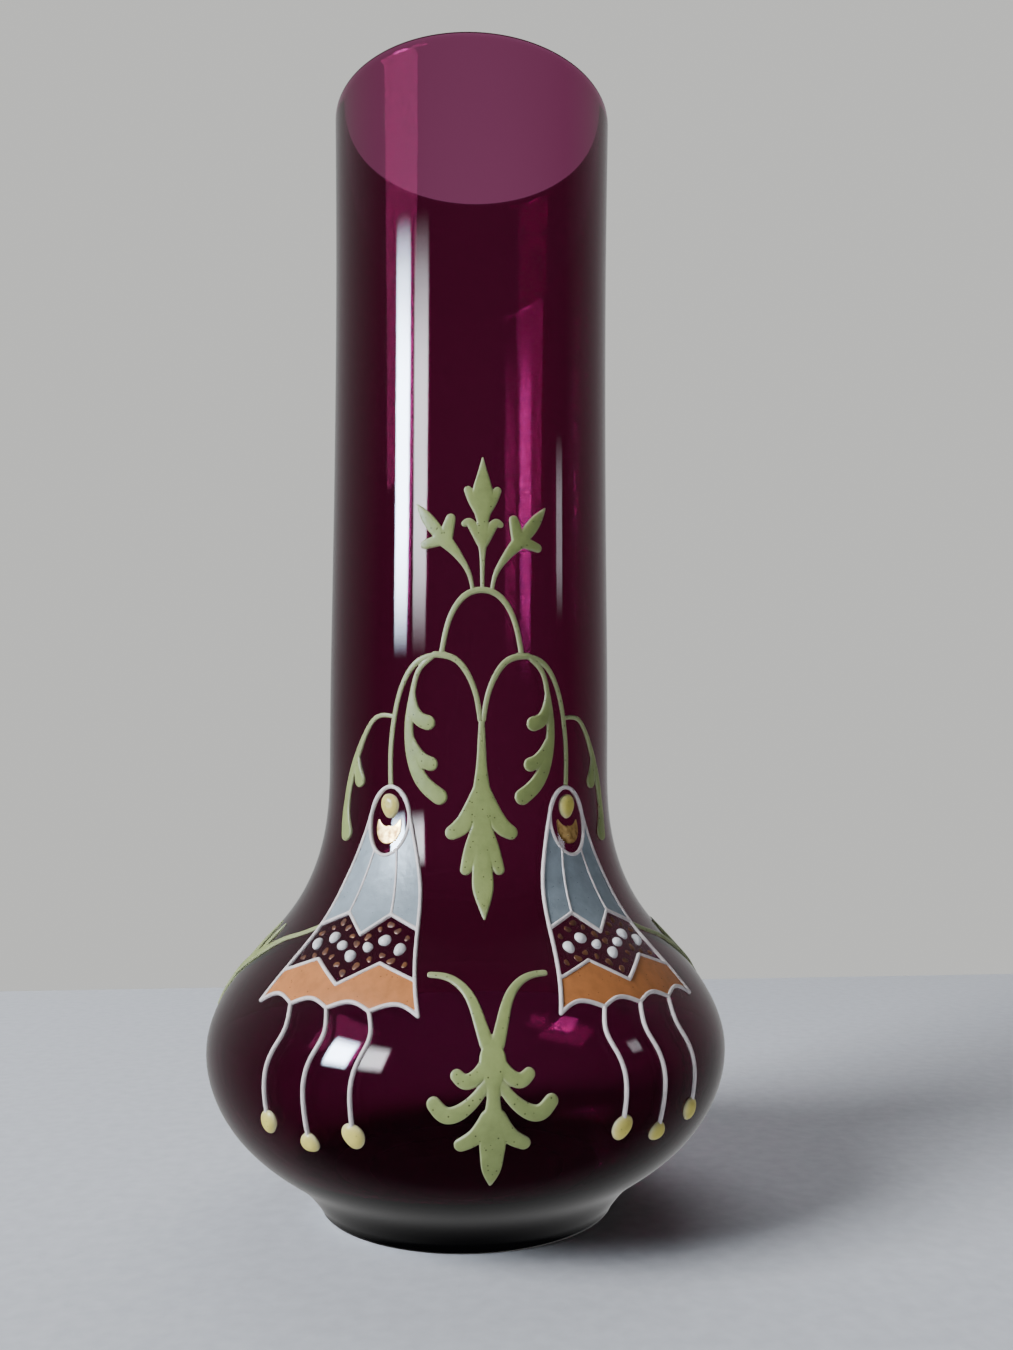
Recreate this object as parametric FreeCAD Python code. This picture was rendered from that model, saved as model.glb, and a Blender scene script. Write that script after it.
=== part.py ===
import FreeCAD, Part
import math
import os

# Enamelled glass vase, in millimetres. Origin at the centre of the base, +Z up, front towards -Y.
# The ornament is laid out by arc length along the outside of the glass and by height.
# Arcs run from a motif's own middle, positive to the right as seen from outside.

V = FreeCAD.Vector
ORIGIN = V(0, 0, 0)
UP = V(0, 0, 1)

# Driving dimensions of the glass
HEIGHT = 240.0
FOOT_RADIUS = 29.0
BELLY_RADIUS = 53.1
BELLY_HEIGHT = 33.0
NECK_RADIUS = 30.1
NECK_START = 74.0
MOUTH_RADIUS = 32.2
NECK_WALL = 2.0
BULB_WALL = 2.2
FLOOR_THICKNESS = 6.0

# Edges, the underside and the inside of the floor
FOOT_EDGE = 0.8
RIM_ROUND = NECK_WALL / 2
RIM_BASE = HEIGHT - RIM_ROUND
RECESS_RADIUS = 21.0
RECESS_DEPTH = 1.2
FLOOR_FLAT_RADIUS = 20.0
FLOOR_RISE = 0.4

# Outside of the glass from the foot's edge to the rim: radius and height
FOOT_OUTSIDE = [(FOOT_RADIUS + FOOT_EDGE, FOOT_EDGE), (34.2, 6.0)]
BULB_OUTSIDE = [(39.6, 10.0), (49.4, 20.0), (BELLY_RADIUS, BELLY_HEIGHT), (46.3, 48.0), (36.3, 60.0)]
NECK_OUTSIDE = [(30.9, NECK_START), (NECK_RADIUS, 92.0), (30.4, 130.0), (31.3, 205.0)]
OUTSIDE = FOOT_OUTSIDE + BULB_OUTSIDE + NECK_OUTSIDE + [(MOUTH_RADIUS, RIM_BASE)]

# Relief of the enamel above the glass
LINE_RELIEF = 0.6
LEAF_RELIEF = 0.5
PANEL_RELIEF = 0.35
GILT_RELIEF = 0.15
PEARL_RELIEF = 0.9
BEAD_RELIEF = 1.0

# The flat drawing that the ornament is laid out on, and how finely its outlines are followed
CHART_RADIUS = 40.0
SKIN_POINTS = 80
STROKE_STEPS = 6
CAP_STEPS = 10
SHORTEST_STEP = 0.05
CORNER = 40.0
RUN_BEND = 8.0
RUN_STEP = 2.0
SLIVER = 0.5

# Half widths of the drawn lines
LINE = 0.38
DIVIDER = 0.31
THREAD = 0.4
STEM = 0.5

# Place of the right-hand bell's middle round the vase, in degrees from the front
BELL_AZIMUTH = 34.5

# The bell: its edge, the lines across its skirt and its scalloped hem
BELL_TOP = 83.5
BELL_EDGE = [(2.5, 82.0), (4.4, 78.0), (5.6, 74.0), (7.1, 69.5), (8.9, 64.0), (10.8, 57.5), (14.0, 50.3)]
HEM_CORNER = (17.2, 44.5)
HEM_CUSP_ANGLE = 9.9
HEM_CUSP_HEIGHT = 44.9
HEM_TOP_HEIGHT = 46.1
UPPER_LINE_PEAK_ANGLE = 7.3
UPPER_LINE_PEAK = 59.9
UPPER_LINE_EDGE = (10.8, 57.5)
UPPER_LINE_VALLEY = (0, 56.4)
LOWER_LINE_PEAK_ANGLE = 9.0
LOWER_LINE_PEAK = 52.0
LOWER_LINE_EDGE = (14.3, 49.6)
LOWER_LINE_VALLEY = (0, 48.4)

# The eye at the bell's top, with a yellow bead over a gilt crescent
EYE_HEIGHT = 76.9
EYE_HALF_WIDTH = 4.4
EYE_HALF_HEIGHT = 6.5
EYE_BEAD_HEIGHT = 79.8
EYE_BEAD = 2.05
CRESCENT_HEIGHT = 75.1
CRESCENT_HALF_WIDTH = 2.8
CRESCENT_HALF_HEIGHT = 2.9
CRESCENT_BITE = 3.6

# Tassels under the hem: sway in degrees at each height, and the bead at the end
TASSEL_SWAY = [(0, HEM_CUSP_HEIGHT), (-1.4, 41.0), (-0.1, 38.0), (1.0, 34.5), (1.0, 30.0)]
TASSEL_END_SWAY = 0.8
TASSEL_BEAD = 1.95
TASSEL_BEAD_HEIGHTS = (25.8, 23.6, 25.8)

# Pearls and gilt dots on the skirt: degrees from the bell's middle and height
PEARL = 1.1
PEARLS = [(0, 52.9), (3.9, 54.4), (8.0, 55.6), (12.8, 54.3)]
DOT = 0.6
UPPER_DOTS = [(0, 54.9), (2.5, 56.1), (5.3, 57.4), (8.1, 58.2), (10.7, 57.2), (13.9, 56.1)]
LOWER_DOTS = [(0, 50.3), (2.8, 51.5), (5.6, 52.6), (8.6, 53.3), (11.4, 52.5), (15.0, 52.0)]


def spline(points):
    """Smooth curve through the points."""
    curve = Part.BSplineCurve()
    curve.interpolate(points)
    return curve


OUTER_CURVE = spline([V(radius, 0, z) for radius, z in OUTSIDE])
FOOT_END = OUTER_CURVE.value(OUTER_CURVE.FirstParameter)
RIM_END = OUTER_CURVE.value(OUTER_CURVE.LastParameter)


def outer_parameter(z):
    """Place on the outside curve at a height, found by halving."""
    low = OUTER_CURVE.FirstParameter
    high = OUTER_CURVE.LastParameter
    for _ in range(40):
        middle = (low + high) / 2
        if OUTER_CURVE.value(middle).z < z:
            low = middle
        else:
            high = middle
    return (low + high) / 2


def outer_radius(z):
    return OUTER_CURVE.value(outer_parameter(z)).x


def offset_point(parameter, distance):
    """Point that lies a distance outwards from the outside curve."""
    tangent = OUTER_CURVE.tangent(parameter)[0]
    return OUTER_CURVE.value(parameter) + V(tangent.z, 0, -tangent.x) * distance


def wall(z):
    """Thickness of the glass: a little thicker in the bulb than from the neck up."""
    share = (z - BELLY_HEIGHT) / (NECK_START - BELLY_HEIGHT)
    return BULB_WALL + (NECK_WALL - BULB_WALL) * min(max(share, 0), 1)


def revolved(edges):
    """Solid swept by a closed outline in the XZ plane that is turned about the vase's axis."""
    return Part.Face(Part.Wire(edges)).revolve(ORIGIN, UP, 360)


def segment(start, end):
    return Part.LineSegment(start, end).toShape()


def make_glass_body():
    """The blown vessel: recessed underside, rounded foot, bulb, neck and fire-polished rim."""
    recess_top = V(0, 0, RECESS_DEPTH)
    recess_middle = V(RECESS_RADIUS / 2, 0, RECESS_DEPTH * 3 / 4)
    recess_edge = V(RECESS_RADIUS, 0, 0)
    foot_inner = V(FOOT_RADIUS, 0, 0)
    corner_inset = FOOT_EDGE * (1 - math.sqrt(0.5))
    foot_middle = V(FOOT_RADIUS + FOOT_EDGE - corner_inset, 0, corner_inset)
    rim_top = V(MOUTH_RADIUS - RIM_ROUND, 0, HEIGHT)
    rim_inner = V(MOUTH_RADIUS - NECK_WALL, 0, RIM_BASE)
    floor_middle = V(0, 0, FLOOR_THICKNESS)
    inside = [floor_middle, V(FLOOR_FLAT_RADIUS, 0, FLOOR_THICKNESS + FLOOR_RISE)]
    inside += [offset_point(outer_parameter(z), -wall(z)) for radius, z in BULB_OUTSIDE + NECK_OUTSIDE]
    inside += [rim_inner]
    edges = [
        Part.Arc(recess_top, recess_middle, recess_edge).toShape(),
        segment(recess_edge, foot_inner),
        Part.Arc(foot_inner, foot_middle, FOOT_END).toShape(),
        OUTER_CURVE.toShape(),
        Part.Arc(RIM_END, rim_top, rim_inner).toShape(),
        spline(inside[::-1]).toShape(),
        segment(floor_middle, recess_top),
    ]
    return revolved(edges)


def make_backing():
    """Everything inside the outer surface of the glass, which the drops of enamel stand on."""
    foot_axis = V(0, 0, FOOT_END.z)
    rim_axis = V(0, 0, RIM_END.z)
    edges = [OUTER_CURVE.toShape(), segment(RIM_END, rim_axis), segment(rim_axis, foot_axis)]
    return revolved(edges + [segment(foot_axis, FOOT_END)])


def make_skin(height):
    """Surface at a height above the glass, with the same angle and profile place as on the glass."""
    first = OUTER_CURVE.FirstParameter
    step = (OUTER_CURVE.LastParameter - first) / SKIN_POINTS
    places = [first + step * i for i in range(SKIN_POINTS + 1)]
    profile = Part.BSplineCurve()
    profile.interpolate(Points=[offset_point(place, height) for place in places], Parameters=places)
    profile.rotate(FreeCAD.Placement(ORIGIN, UP, 90))
    return Part.SurfaceOfRevolution(profile, ORIGIN, UP)


BACKING = make_backing()
SKINS = {height: make_skin(height) for height in (0, LINE_RELIEF, LEAF_RELIEF, PANEL_RELIEF, GILT_RELIEF)}


def chart_point(arc, z, middle=0.0):
    """Place on the flat drawing: the angle round the vase across it, and the profile place up it."""
    angle = math.radians(middle) + arc / outer_radius(z)
    return V(CHART_RADIUS * angle, 0, outer_parameter(z))


def chart_stretch(z):
    """Real width on the glass for one unit across the drawing."""
    return outer_radius(z) / CHART_RADIUS


def arc_at(degrees, z):
    """Arc length of an angle at a height."""
    return math.radians(degrees) * outer_radius(z)


def polygon(points):
    return Part.Face(Part.makePolygon(points + points[:1]))


def stroke(path, middle=0.0):
    """Outline of one brush stroke with round ends; the path holds arc, height and half width."""
    centres = [chart_point(arc, z, middle) for arc, z, half in path]
    line = spline(centres)
    knots = [line.parameter(centre) for centre in centres]
    brush = Part.BSplineCurve()
    brush.interpolate(Points=[V(half, 0, z) for arc, z, half in path], Parameters=knots)
    steps = STROKE_STEPS * (len(path) - 1)
    right = []
    left = []
    caps = []
    for i in range(steps + 1):
        place = knots[0] + (knots[-1] - knots[0]) * i / steps
        centre = line.value(place)
        stretch = OUTER_CURVE.value(centre.z).x / CHART_RADIUS
        tangent = line.tangent(place)[0]
        along = V(tangent.x * stretch, 0, tangent.z).normalize() * brush.value(place).x
        across = V(along.z, 0, -along.x)
        unstretched = [V(v.x / stretch, 0, v.z) for v in (along, across)]
        right.append(centre + unstretched[1])
        left.append(centre - unstretched[1])
        if i in (0, steps):
            caps.append((centre, *unstretched))
    turns = [math.pi * i / CAP_STEPS for i in range(1, CAP_STEPS)]
    (start, start_along, start_across), (end, end_along, end_across) = caps
    tip = [end + end_along * math.sin(turn) + end_across * math.cos(turn) for turn in turns]
    tail = [start - start_along * math.sin(turn) - start_across * math.cos(turn) for turn in turns]
    return polygon(right + tip + left[::-1] + tail)


def mirrored(path):
    return [(-arc, z, half) for arc, z, half in path]


def pair(path, middle=0.0):
    """A stroke and its mirror image."""
    return [stroke(path, middle), stroke(mirrored(path), middle)]


def disc(arc, z, half_width, half_height, middle=0.0):
    """Flat oval."""
    centre = chart_point(arc, z, middle)
    across = V(half_width / chart_stretch(z), 0, 0)
    up = V(0, 0, half_height)
    turns = [math.pi * i / CAP_STEPS for i in range(2 * CAP_STEPS)]
    return polygon([centre + across * math.cos(turn) + up * math.sin(turn) for turn in turns])


def loop_points(wire):
    """Points of a closed outline in order, without steps too short to matter."""
    loop = []
    for vertex in wire.OrderedVertexes:
        if not loop or (vertex.Point - loop[-1]).Length > SHORTEST_STEP:
            loop.append(vertex.Point)
    if (loop[0] - loop[-1]).Length <= SHORTEST_STEP:
        loop.pop()
    return loop


def loop_area(loop):
    """Area inside a closed outline, positive if it runs anticlockwise as seen from the front."""
    return sum(p.x * q.z - q.x * p.z for p, q in zip(loop, loop[1:] + loop[:1])) / 2


def joined(faces):
    """One flat outline round overlapping strokes, made of the edges that only one of their parts has."""
    owners = {}
    for face in faces[0].multiFuse(faces[1:]).Faces:
        for edge in face.Edges:
            owners.setdefault(edge.hashCode(), []).append(edge)
    rims = [edges[0] for edges in owners.values() if len(edges) == 1]
    loops = [loop_points(Part.Wire(edges)) for edges in Part.sortEdges(rims)]
    loops = [loop for loop in loops if len(loop) > 2 and abs(loop_area(loop)) > SLIVER]
    loops.sort(key=lambda loop: -abs(loop_area(loop)))
    outline = polygon(loops[0])
    return outline.cut([polygon(hole) for hole in loops[1:]]) if loops[1:] else outline


def clear_of(outline, other):
    """What is left of an outline where another lies over it, without slivers."""
    return Part.makeCompound([face for face in outline.cut(other).Faces if face.Area > SLIVER])


def left_of(shape):
    """Mirror image on the other side of the front's middle."""
    return shape.mirror(ORIGIN, V(1, 0, 0))


def turning(before, point, after):
    """Angle in degrees that an outline turns through at a point."""
    return math.degrees((point - before).getAngle(after - point))


def thinned(points):
    """Only the points of a run that its curve needs: where it bends, and some on its straight stretches."""
    kept = [points[0]]
    for point, after in zip(points[1:-1], points[2:]):
        bend = turning(kept[-1], point, after)
        if bend > RUN_BEND or (point - kept[-1]).Length > RUN_STEP:
            kept.append(point)
    return kept + [points[-1]]


def smooth_runs(loop):
    """Runs of points between the corners of a closed outline."""
    count = len(loop)
    corners = [i for i in range(count) if turning(loop[i - 1], loop[i], loop[(i + 1) % count]) > CORNER]
    if len(corners) < 2:
        first = corners[0] if corners else 0
        corners = [first, first + count // 2]
    runs = []
    for start, end in zip(corners, corners[1:] + [corners[0] + count]):
        runs.append(thinned([loop[i % count] for i in range(start, end + 1)]))
    return runs


def outline_loops(face):
    """Smooth runs of each outline of a flat face: the outer one anticlockwise, then the holes clockwise."""
    outer = loop_points(face.OuterWire)
    holes = [loop_points(wire) for wire in face.Wires if not wire.isSame(face.OuterWire)]
    loops = [outer if loop_area(outer) > 0 else outer[::-1]]
    for hole in holes:
        if abs(loop_area(hole)) > SLIVER:
            loops.append(hole if loop_area(hole) < 0 else hole[::-1])
    return [smooth_runs(loop) for loop in loops]


def edge_on(skin, run):
    """Edge that lies on a skin over a run of points of the drawing."""
    curve = Part.Geom2d.BSplineCurve2d()
    curve.interpolate([FreeCAD.Base.Vector2d(p.x, p.z) for p in run])
    for i, pole in enumerate(curve.getPoles(), 1):
        curve.setPole(i, FreeCAD.Base.Vector2d(math.pi + pole.x / CHART_RADIUS, pole.y))
    return curve.toShape(skin)


def relief_solid(face, height):
    """Raised enamel over one flat outline: its underside, top and walls sewn into a solid."""
    loops = outline_loops(face)
    faces = []
    levels = []
    for skin in (SKINS[0], SKINS[height]):
        edges = [[edge_on(skin, run) for run in runs] for runs in loops]
        cover = Part.Face(Part.Wire(edges[0]))
        for hole in edges[1:]:
            cover = Part.Face(cover, Part.Wire(hole))
        faces.append(cover)
        levels.append([edge for loop in edges for edge in loop])
    faces += [Part.makeRuledSurface(low, high) for low, high in zip(*levels)]
    solid = Part.Solid(Part.Shell(faces))
    return solid if solid.Volume > 0 else solid.reversed()


def relief(outline, height):
    """Raised enamel over every face of a flat outline."""
    return Part.makeCompound([relief_solid(face, height) for face in outline.Faces])


def turned(shape, degrees):
    copy = shape.copy()
    copy.rotate(ORIGIN, UP, degrees)
    return copy


def drop(arc, z, half_width, height, middle=0.0):
    """Drop of enamel: a round cap standing on the glass."""
    sphere_radius = (half_width ** 2 + height ** 2) / (2 * height)
    sphere = Part.makeSphere(sphere_radius, offset_point(outer_parameter(z), height - sphere_radius))
    return turned(sphere.cut(BACKING), middle + math.degrees(arc / outer_radius(z)) - 90)


def crown_outline():
    """Three sprigs that stand on the upper arch: a tall middle one and two that lean out."""
    middle = [stroke([(0, 121.2, 0.35), (0, 126, 0.45), (0, 129.5, 0.75), (0, 132.5, 1.3), (0, 135.3, 1.05)])]
    middle += [stroke([(0, 134.5, 1.0), (0, 137.5, 1.8), (0, 140.5, 2.1), (0, 144, 1.25), (0, 147.9, 0.15)])]
    middle += pair([(0.4, 130.5, 0.7), (1.6, 133.4, 0.95), (2.9, 134.8, 0.8), (3.5, 134.5, 0.65)])
    middle += pair([(0.8, 137.2, 1.0), (1.9, 139.6, 1.15), (2.9, 141.3, 0.8)])
    stem = [(1.85, 121.0, 0.35), (2.55, 124.4, 0.45), (4.4, 127.7, 0.75), (6.4, 130.2, 1.2), (8.2, 132, 1.6)]
    point = [(7.6, 131.4, 1.0), (10.0, 134.5, 1.3), (11.6, 136.7, 0.95), (13.2, 138.9, 0.12)]
    inner_lobe = [(7.3, 131.2, 1.35), (6.7, 133.9, 1.2), (6.25, 135.6, 0.95)]
    outer_lobe = [(8.0, 131.4, 1.2), (10.0, 130.9, 1.05), (11.4, 130.5, 0.9)]
    right = joined([stroke(path) for path in (stem, point, inner_lobe, outer_lobe)])
    return Part.makeCompound([joined(middle), right, left_of(right)])


def upper_arch_outline():
    """Round arch that carries the crown."""
    half = [(7.8, 109.2, 0.5), (6.9, 113.8, 0.5), (5.2, 118, 0.55), (2.7, 120.6, 0.6)]
    return stroke(mirrored(half) + [(0, 121.3, 0.6)] + half[::-1])


def right_arch_outline():
    """Right-hand arch: a strand down to the bell, a strand to the middle and a three-lobed leaf."""
    bell_arc = arc_at(BELL_AZIMUTH, BELL_TOP)
    bell_strand = [(7.2, 108.7, STEM), (12.2, 107.7, 0.55), (15.6, 103.5, STEM), (17.4, 97.4, STEM),
                   (18.2, 90.5, STEM), (bell_arc, BELL_TOP, STEM)]
    middle_strand = [(9.2, 108.7, 0.6), (5.2, 107.7, 0.6), (2.7, 104.7, 0.55), (1.2, 101, STEM),
                     (0.3, 96.0, STEM)]
    leaf = [(9.8, 108.2, STEM), (12.2, 106, STEM), (13.5, 102, 0.55), (14.2, 97, 0.8), (14.1, 92, 1.0),
            (13.0, 87.5, 1.25), (10.7, 83.6, 1.45), (8.0, 81.4, 1.55)]
    upper_lobe = [(13.5, 102, 0.4), (13.2, 98.4, 0.95), (12.0, 96.2, 1.35), (10.4, 95.5, 1.45)]
    middle_lobe = [(14.1, 93.5, 0.5), (12.6, 90.0, 1.05), (11.0, 88.2, 1.3), (9.7, 87.6, 1.35)]
    return joined([stroke(path) for path in (bell_strand, middle_strand, leaf, upper_lobe, middle_lobe)])


def pendant_outline():
    """Leaf that hangs where the two arches meet, with four lobes and a point."""
    stem = [(0, 95.6, 0.55), (0, 91, 0.8), (0, 87, 1.05), (0, 83, 1.6), (0, 78, 2.2)]
    point = [(0, 79, 2.0), (0, 72, 1.8), (0, 67, 1.95), (0, 64.7, 1.95), (0, 62, 1.25), (0, 59.4, 0.25)]
    faces = [stroke(stem), stroke(point)]
    faces += pair([(0.6, 83, 1.0), (2.4, 78.2, 1.5), (4.2, 75.5, 1.6), (5.5, 74.7, 1.4)])
    faces += pair([(0.6, 76, 1.1), (1.9, 71.5, 1.45), (3.1, 67.9, 1.05)])
    return joined(faces)


def lower_sprig_outline():
    """Sprig on the front of the bulb: two curls at its top, three pairs of lobes and a point."""
    stem = [(0, 41.4, 0.6), (0, 39.5, 1.9), (0, 37.5, 2.2), (0, 34.5, 1.4), (0, 31.5, 1.0)]
    point = [(0, 33, 1.0), (0, 30, 1.5), (0, 26.5, 2.2), (0, 23.2, 1.95), (0, 20.4, 1.5), (0, 17.8, 0.25)]
    curl = [(10.0, 50.6, 0.55), (6.9, 50.2, 0.65), (3.65, 47.8, 0.85), (2.0, 44, 1.05), (0.9, 40.5, 1.2)]
    faces = [stroke(stem), stroke(point)] + pair(curl)
    faces += pair([(0.6, 38.4, 1.2), (2.7, 35.8, 1.2), (4.6, 35.1, 1.2), (5.9, 36.0, 1.05)])
    faces += pair([(1.2, 34.6, 0.8), (4.3, 31.2, 1.15), (7.7, 30.0, 1.35), (9.6, 31.7, 1.2)])
    faces += pair([(0.9, 29.5, 1.3), (3.0, 26.4, 1.35), (5.1, 25.2, 1.15)])
    return joined(faces)


def angled(path):
    """Stroke whose path is given in degrees from the front instead of arcs."""
    return stroke([(arc_at(degrees, z), z, half) for degrees, z, half in path])


def right_sprig_outline():
    """Branch that leaves the right-hand bell and ends in a three-lobed leaf round the side of the bulb."""
    stem = [(51.0, 57.2, 0.45), (57, 55.7, STEM), (64.5, 54.3, 0.55), (70, 52.7, 0.8), (77, 50.4, 1.3),
            (84, 47.7, 1.5), (91, 44.6, 1.1), (97, 42.2, 0.2)]
    near_lobe = [(75, 51.2, 0.9), (75.2, 53.4, 0.75), (73.8, 56.4, 0.2)]
    far_lobe = [(80.5, 49.3, 1.1), (82.5, 52.6, 0.9), (83, 56.5, 0.2)]
    low_lobe = [(85, 47.4, 1.0), (89, 42.6, 0.9), (91, 39.8, 0.7)]
    return joined([angled(path) for path in (stem, near_lobe, far_lobe, low_lobe)])


def right_leaf_outline():
    """Leaf that hooks out of the strand above the right-hand bell and hangs beside the bell."""
    stem = [(33.6, 97.0, 0.4), (41, 97.1, 0.45), (47, 94, 0.55), (52, 89.5, 0.8), (56, 84.8, 0.9),
            (57.8, 80, 1.0), (57.0, 76.5, 1.4), (55.6, 74.6, 1.65)]
    lobe = [(51.5, 90, 0.5), (51.2, 87.2, 0.95), (50.0, 84.9, 1.45)]
    return joined([angled(path) for path in (stem, lobe)])


def bell_edge():
    """Path up one side of the bell, over its top and down the other side."""
    right = [(arc, z, LINE) for arc, z in BELL_EDGE + [HEM_CORNER]]
    return mirrored(right[::-1]) + [(0, BELL_TOP, LINE)] + right


def hem_scallops():
    """Paths of the four scallops of the hem, from left to right."""
    cusp = arc_at(HEM_CUSP_ANGLE, HEM_CUSP_HEIGHT)
    corners = [(-HEM_CORNER[0], HEM_CORNER[1])]
    corners += [(arc, HEM_CUSP_HEIGHT) for arc in (-cusp, 0, cusp)] + [HEM_CORNER]
    paths = []
    for start, end in zip(corners, corners[1:]):
        top = ((start[0] + end[0]) / 2, HEM_TOP_HEIGHT)
        paths.append([point + (LINE,) for point in (start, top, end)])
    return paths


def zigzag(edge, peak, valley):
    """Lines across the skirt from its edges over two peaks to the valley between them."""
    lines = []
    for start, end in ((edge, peak), (peak, valley)):
        lines += pair([start + (LINE,), end + (LINE,)], BELL_AZIMUTH)
    return lines


def bell_lines():
    """All white lines of the right-hand bell as one flat outline."""
    upper_peak = (arc_at(UPPER_LINE_PEAK_ANGLE, UPPER_LINE_PEAK), UPPER_LINE_PEAK)
    lower_peak = (arc_at(LOWER_LINE_PEAK_ANGLE, LOWER_LINE_PEAK), LOWER_LINE_PEAK)
    eye = disc(0, EYE_HEIGHT, EYE_HALF_WIDTH + LINE, EYE_HALF_HEIGHT + LINE, BELL_AZIMUTH)
    pupil = disc(0, EYE_HEIGHT, EYE_HALF_WIDTH - LINE, EYE_HALF_HEIGHT - LINE, BELL_AZIMUTH)
    faces = [stroke(bell_edge(), BELL_AZIMUTH), eye.cut(pupil)]
    faces += pair([(2.5, 71.4, DIVIDER), (3.6, 65.5, DIVIDER), upper_peak + (DIVIDER,)], BELL_AZIMUTH)
    faces += zigzag(UPPER_LINE_EDGE, upper_peak, UPPER_LINE_VALLEY)
    faces += zigzag(LOWER_LINE_EDGE, lower_peak, LOWER_LINE_VALLEY)
    faces += [stroke(path, BELL_AZIMUTH) for path in hem_scallops()]
    return joined(faces)


def bell_fields(lines):
    """Flat fields between the lines: the blue panels of the skirt and the orange hem."""
    edges = []
    for path in [bell_edge()] + hem_scallops():
        edges.append(spline([chart_point(arc, z, BELL_AZIMUTH) for arc, z, half in path]).toShape())
    region = Part.Face(Part.Wire(Part.__sortEdges__(edges)))
    eye_bottom = outer_parameter(EYE_HEIGHT - EYE_HALF_HEIGHT)
    skirt_top = outer_parameter(UPPER_LINE_PEAK)
    hem_top = outer_parameter(LOWER_LINE_EDGE[1])
    fields = clear_of(region, lines).Faces
    blue = [field for field in fields if skirt_top < field.CenterOfMass.z < eye_bottom]
    orange = [field for field in fields if field.CenterOfMass.z < hem_top]
    return Part.makeCompound(blue), Part.makeCompound(orange)


def both_sides(places):
    """Places on the middle line once, and the others to the left and right of it."""
    return places + [(-degrees, z) for degrees, z in places if degrees]


def tassel_outlines():
    """Three swaying threads under the hem's cusps, and the place of the bead at each end."""
    threads = []
    ends = []
    for cusp, bead_height in zip((-HEM_CUSP_ANGLE, 0, HEM_CUSP_ANGLE), TASSEL_BEAD_HEIGHTS):
        places = [(cusp + sway, z) for sway, z in TASSEL_SWAY + [(TASSEL_END_SWAY, bead_height)]]
        path = [(arc_at(degrees, z), z, THREAD) for degrees, z in places]
        bead = disc(path[-1][0], bead_height, TASSEL_BEAD, TASSEL_BEAD, BELL_AZIMUTH)
        threads.append(clear_of(stroke(path, BELL_AZIMUTH), bead))
        ends.append(places[-1])
    return Part.makeCompound(threads), ends


def drops(places, half_width, height):
    """Drops of enamel at places of the right-hand bell."""
    shapes = [drop(arc_at(degrees, z), z, half_width, height, BELL_AZIMUTH) for degrees, z in places]
    return Part.makeCompound(shapes)


def make_right_bell(lines):
    """Pieces of the right-hand bell, by name."""
    blue, orange = bell_fields(lines)
    threads, thread_ends = tassel_outlines()
    crescent = disc(0, CRESCENT_HEIGHT, CRESCENT_HALF_WIDTH, CRESCENT_HALF_HEIGHT, BELL_AZIMUTH)
    bite = disc(0, EYE_BEAD_HEIGHT, CRESCENT_BITE, CRESCENT_BITE, BELL_AZIMUTH)
    dots = []
    for degrees, z in both_sides(UPPER_DOTS) + both_sides(LOWER_DOTS):
        dots.append(disc(arc_at(degrees, z), z, DOT, DOT, BELL_AZIMUTH))
    return {
        "outline": relief(lines, LINE_RELIEF),
        "blue_panels": relief(blue, PANEL_RELIEF),
        "orange_hem": relief(orange, PANEL_RELIEF),
        "gilt_crescent": relief(clear_of(crescent, bite), GILT_RELIEF),
        "gilt_dots": relief(Part.makeCompound(dots), GILT_RELIEF),
        "tassels": relief(clear_of(threads, lines), LINE_RELIEF),
        "pearls": drops(both_sides(PEARLS), PEARL, PEARL_RELIEF),
        "eye_bead": drops([(0, EYE_BEAD_HEIGHT)], EYE_BEAD, BEAD_RELIEF),
        "tassel_beads": drops(thread_ends, TASSEL_BEAD, BEAD_RELIEF),
    }


def make_nodes():
    """Every piece of the vase, by name."""
    lines = bell_lines()
    upper_arch = upper_arch_outline()
    right_arch = clear_of(right_arch_outline(), lines)
    left_arch = clear_of(left_of(right_arch), right_arch)
    arches = Part.makeCompound([right_arch, left_arch])
    right_leaf = clear_of(right_leaf_outline(), right_arch)
    right_sprig = clear_of(right_sprig_outline(), lines)
    outlines = {
        "crown": clear_of(crown_outline(), upper_arch),
        "upper_arch": clear_of(upper_arch, arches),
        "right_arch": right_arch,
        "left_arch": left_arch,
        "pendant": clear_of(pendant_outline(), arches),
        "lower_sprig": lower_sprig_outline(),
        "right_leaf": right_leaf,
        "left_leaf": left_of(right_leaf),
        "right_sprig": right_sprig,
        "left_sprig": left_of(right_sprig),
    }
    nodes = {"glass_body": make_glass_body()}
    for name, outline in outlines.items():
        nodes[name] = relief(outline, LEAF_RELIEF)
    for name, shape in make_right_bell(lines).items():
        nodes["right_bell_" + name] = shape
        nodes["left_bell_" + name] = left_of(shape)
    return nodes


os.makedirs("parts", exist_ok=True)
for node, shape in make_nodes().items():
    shape.exportStep("parts/" + node + ".step")
    print(node, "solids", len(shape.Solids), "valid", shape.isValid())
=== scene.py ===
import bpy
import math
import numpy as np
from mathutils import Matrix, Vector


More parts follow.
